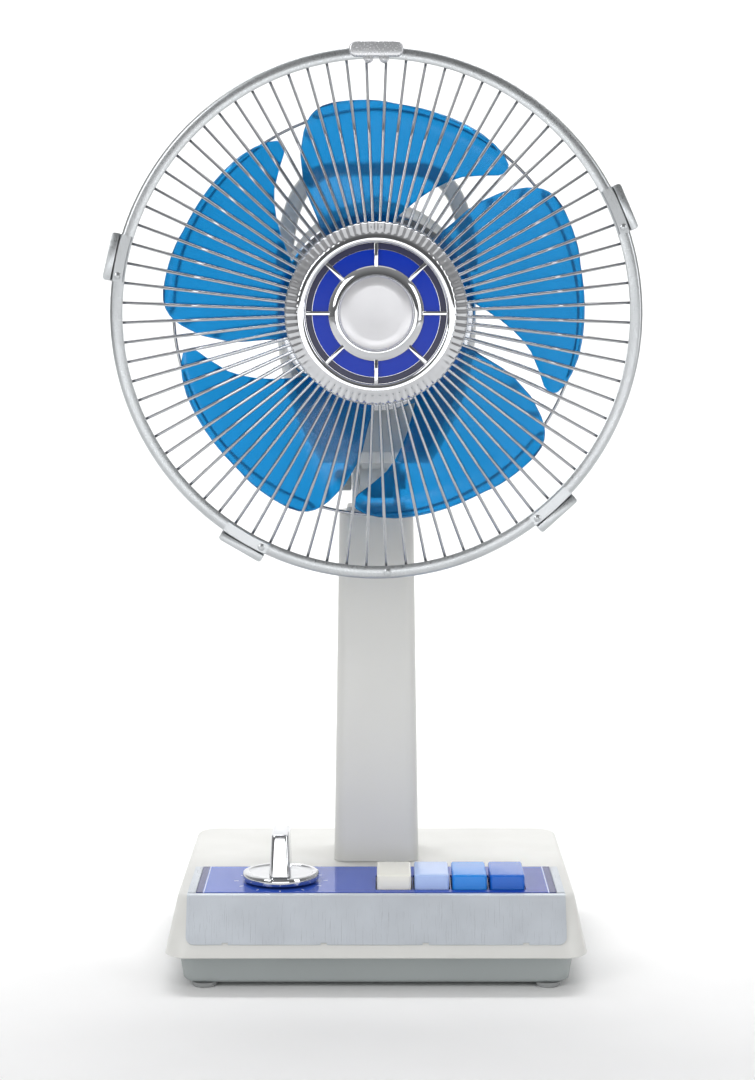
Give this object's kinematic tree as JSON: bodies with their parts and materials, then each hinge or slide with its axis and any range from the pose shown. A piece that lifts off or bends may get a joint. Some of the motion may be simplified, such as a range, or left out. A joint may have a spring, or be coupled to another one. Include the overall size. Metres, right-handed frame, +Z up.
{
  "type": "table fan",
  "caption": "Retro table fan: chrome wire guard with emblem, translucent swept blades, tilting and oscillating head, tapered column, weighted base with timer knob and push buttons.",
  "frame": {"origin": "on the floor, under the middle of the fan's width and depth", "axes": "+Z up; the front of the fan faces -Y; +X is to the right as seen from the front"},
  "size_m": [0.3803, 0.256, 0.6565],
  "materials": {
    "ivory_plastic": "satin gloss",
    "grey_plastic": "matt",
    "foot_rubber": "matt",
    "ballast_iron": "rough cast",
    "blue_panel": "high gloss",
    "brushed_trim": "brushed",
    "chrome": "polished",
    "chromed_plastic": "bright metallised",
    "satin_silver": "satin",
    "clear_blue": "translucent gloss",
    "navy_plastic": "gloss",
    "cream_key": "gloss",
    "pale_blue_key": "gloss",
    "sky_blue_key": "gloss",
    "royal_blue_key": "gloss",
    "black_plastic": "matt",
    "steel": "machined",
    "copper_winding": "varnished wire",
    "brass": "machined"
  },
  "bodies": {
    "base": {"base_pan": "grey_plastic", "foot_1": "foot_rubber", "foot_2": "foot_rubber", "foot_3": "foot_rubber", "foot_4": "foot_rubber", "ballast_plate": "ballast_iron", "base_shell": "ivory_plastic", "control_panel": "blue_panel", "front_trim": "brushed_trim", "timer_body": "black_plastic", "switch_box": "black_plastic", "cord_gland": "black_plastic", "column_front_shell": "ivory_plastic", "column_rear_shell": "ivory_plastic", "support_tube": "steel", "tilt_bracket": "ivory_plastic", "tilt_pin": "steel"},
    "timer_knob": {"timer_knob": "chrome", "timer_shaft": "brass"},
    "off_button": {"off_button": "cream_key"},
    "low_button": {"low_button": "pale_blue_key"},
    "medium_button": {"medium_button": "sky_blue_key"},
    "high_button": {"high_button": "royal_blue_key"},
    "tilt_knob": {"tilt_knob": "grey_plastic"},
    "neck": {"neck": "ivory_plastic"},
    "crank_link": {"crank_link": "steel"},
    "head": {"motor_front_cover": "ivory_plastic", "motor_rear_cover": "ivory_plastic", "carry_handle": "ivory_plastic", "stator": "steel", "stator_winding": "copper_winding", "front_bearing": "brass", "rear_bearing": "brass", "motor_bracket": "steel", "swivel_bush": "brass", "gear_plate": "steel", "rear_guard": "chrome", "guard_nut": "black_plastic", "guard_rim": "satin_silver", "front_guard": "chrome", "guard_collar": "chromed_plastic", "guard_back_plate": "satin_silver", "collar_screw": "steel", "emblem_dark_ring": "navy_plastic", "emblem_blue_ring": "blue_panel", "emblem_spider": "chromed_plastic", "emblem_disc": "chromed_plastic", "top_catch": "chrome"},
    "rotor": {"rotor": "steel", "motor_shaft": "steel", "impeller": "clear_blue", "spinner": "navy_plastic"},
    "crank_gear": {"crank_gear": "black_plastic"},
    "oscillation_knob": {"oscillation_knob": "chrome"},
    "clip_lever_1": {"clip_lever_1": "satin_silver"},
    "clip_lever_2": {"clip_lever_2": "satin_silver"},
    "clip_lever_3": {"clip_lever_3": "satin_silver"},
    "clip_lever_4": {"clip_lever_4": "satin_silver"}
  },
  "joints": [
    {"name": "tilt", "type": "hinge", "parent": "base", "child": "neck", "pos_m": [0, 0.042, 0.34], "axis": [1, 0, 0], "range_deg": [-20, 10]},
    {"name": "oscillation", "type": "hinge", "parent": "neck", "child": "head", "pos_m": [0, 0.042, 0.38], "axis": [0, 0, 1], "range_deg": [-35, 35]},
    {"name": "impeller_spin", "type": "hinge", "parent": "head", "child": "rotor", "pos_m": [0, -0.062, 0.466], "axis": [0, 1, 0], "continuous": true},
    {"name": "crank_turn", "type": "hinge", "parent": "head", "child": "crank_gear", "pos_m": [0.0175, 0.095, 0.436], "axis": [0, 0, 1], "continuous": true},
    {"name": "crank_link_turn", "type": "hinge", "parent": "neck", "child": "crank_link", "pos_m": [0.026, 0.048, 0.4015], "axis": [0, 0, 1], "range_deg": [-35, 35]},
    {"name": "oscillation_knob_pull", "type": "slide", "parent": "head", "child": "oscillation_knob", "axis": [0, 0, 1], "range_m": [0, 0.008]},
    {"name": "timer_turn", "type": "hinge", "parent": "base", "child": "timer_knob", "pos_m": [-0.0675, -0.062, 0.07], "axis": [0, 0, -1], "range_deg": [0, 300]},
    {"name": "tilt_knob_turn", "type": "hinge", "parent": "base", "child": "tilt_knob", "pos_m": [-0.025, 0.042, 0.34], "axis": [-1, 0, 0], "range_deg": [-180, 20]},
    {"name": "off_press", "type": "slide", "parent": "base", "child": "off_button", "axis": [0, 0, -1], "range_m": [0, 0.004], "stiffness_N_per_m": 300, "springref_m": -0.002},
    {"name": "low_press", "type": "slide", "parent": "base", "child": "low_button", "axis": [0, 0, -1], "range_m": [0, 0.004], "stiffness_N_per_m": 300, "springref_m": -0.002},
    {"name": "medium_press", "type": "slide", "parent": "base", "child": "medium_button", "axis": [0, 0, -1], "range_m": [0, 0.004], "stiffness_N_per_m": 300, "springref_m": -0.002},
    {"name": "high_press", "type": "slide", "parent": "base", "child": "high_button", "axis": [0, 0, -1], "range_m": [0, 0.004], "stiffness_N_per_m": 300, "springref_m": -0.002},
    {"name": "clip_1_open", "type": "hinge", "parent": "head", "child": "clip_lever_1", "pos_m": [0.17305, -0.069, 0.53946], "axis": [0.3907, 0, -0.9205], "range_deg": [0, 90]},
    {"name": "clip_2_open", "type": "hinge", "parent": "head", "child": "clip_lever_2", "pos_m": [-0.18389, -0.069, 0.50509], "axis": [0.2079, 0, 0.9781], "range_deg": [0, 90]},
    {"name": "clip_3_open", "type": "hinge", "parent": "head", "child": "clip_lever_3", "pos_m": [-0.094, -0.069, 0.30319], "axis": [-0.866, 0, 0.5], "range_deg": [0, 90]},
    {"name": "clip_4_open", "type": "hinge", "parent": "head", "child": "clip_lever_4", "pos_m": [0.1258, -0.069, 0.32629], "axis": [-0.7431, 0, -0.6691], "range_deg": [0, 90]}
  ],
  "couplings": [
    {"joint": "crank_turn", "follows": "impeller_spin", "ratio": 0.033333},
    {"joint": "crank_link_turn", "follows": "oscillation", "ratio": 1}
  ]
}
